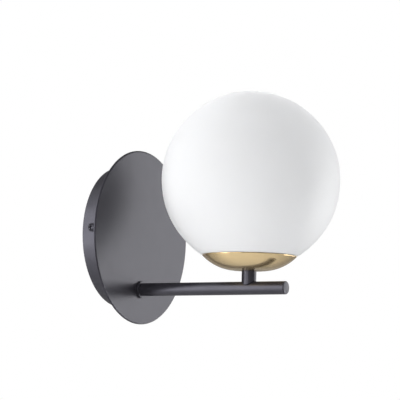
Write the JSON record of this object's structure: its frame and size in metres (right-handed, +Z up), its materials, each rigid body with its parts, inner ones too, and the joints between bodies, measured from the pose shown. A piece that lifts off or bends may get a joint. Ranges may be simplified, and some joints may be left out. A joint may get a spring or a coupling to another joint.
{
  "type": "wall sconce",
  "caption": "Wall light: round canopy with a larger front disc, straight arm, short stem, brass dish and opal glass globe.",
  "frame": {"origin": "centre of the canopy's wall face", "axes": "+Y into the wall, so the light stands out towards -Y; +Z up; +X to the right seen from the room"},
  "size_m": [0.15, 0.2031, 0.1954],
  "materials": {
    "anthracite_paint": "satin anthracite powder coat",
    "side_screw_paint": "satin anthracite, painted heads",
    "polished_brass": "polished and lacquered",
    "opal_glass": "opal, satin etched outside",
    "zinc_steel": "bright zinc plated",
    "tinned_copper": "tinned",
    "terminal_brass": "plain turned",
    "spring_bronze": "rolled",
    "terminal_nylon": "natural nylon",
    "bush_plastic": "black moulded",
    "live_insulation": "brown silicone",
    "neutral_insulation": "blue silicone",
    "earth_insulation": "green and yellow silicone",
    "cup_aluminium": "turned",
    "holder_ceramic": "unglazed steatite",
    "gasket_silicone": "translucent silicone",
    "lamp_plastic": "white moulded",
    "lamp_steel": "nickel plated wire",
    "lamp_frosted": "frosted"
  },
  "bodies": {
    "fixture": {"canopy_cup": "anthracite_paint", "front_disc": "anthracite_paint", "arm_tube": "anthracite_paint", "arm_end_plug": "anthracite_paint", "arm_collar": "anthracite_paint", "stem_tube": "anthracite_paint", "canopy_side_screws": "side_screw_paint", "brass_dish": "polished_brass", "wall_bracket": "zinc_steel", "earth_screw": "zinc_steel", "earth_lock_washer": "zinc_steel", "disc_studs": "zinc_steel", "stud_lock_washers": "zinc_steel", "stud_nuts": "zinc_steel", "arm_nipple": "zinc_steel", "arm_lock_washer": "zinc_steel", "arm_nut": "zinc_steel", "stem_nipple": "zinc_steel", "stem_nut": "zinc_steel", "terminal_fixing_screw": "zinc_steel", "terminal_clamp_screws": "zinc_steel", "holder_spacers": "zinc_steel", "holder_screws": "zinc_steel", "dish_washer": "zinc_steel", "earth_ring_terminal": "tinned_copper", "terminal_tubes": "terminal_brass", "holder_contacts": "spring_bronze", "terminal_body": "terminal_nylon", "wire_bush": "bush_plastic", "live_wire": "live_insulation", "neutral_wire": "neutral_insulation", "earth_wire": "earth_insulation", "holder_cup": "cup_aluminium", "holder_body": "holder_ceramic"},
    "globe": {"globe_glass": "opal_glass", "globe_collar": "cup_aluminium", "globe_gasket": "gasket_silicone"},
    "lamp": {"lamp_base": "lamp_plastic", "lamp_pins": "lamp_steel", "lamp_cover": "lamp_frosted"}
  },
  "joints": [
    {"name": "globe_lift", "type": "slide", "parent": "fixture", "child": "globe", "axis": [0, 0, 1], "range_m": [0, 0.09]},
    {"name": "lamp_pull", "type": "slide", "parent": "fixture", "child": "lamp", "axis": [0, 0, 1], "range_m": [0, 0.013]}
  ]
}
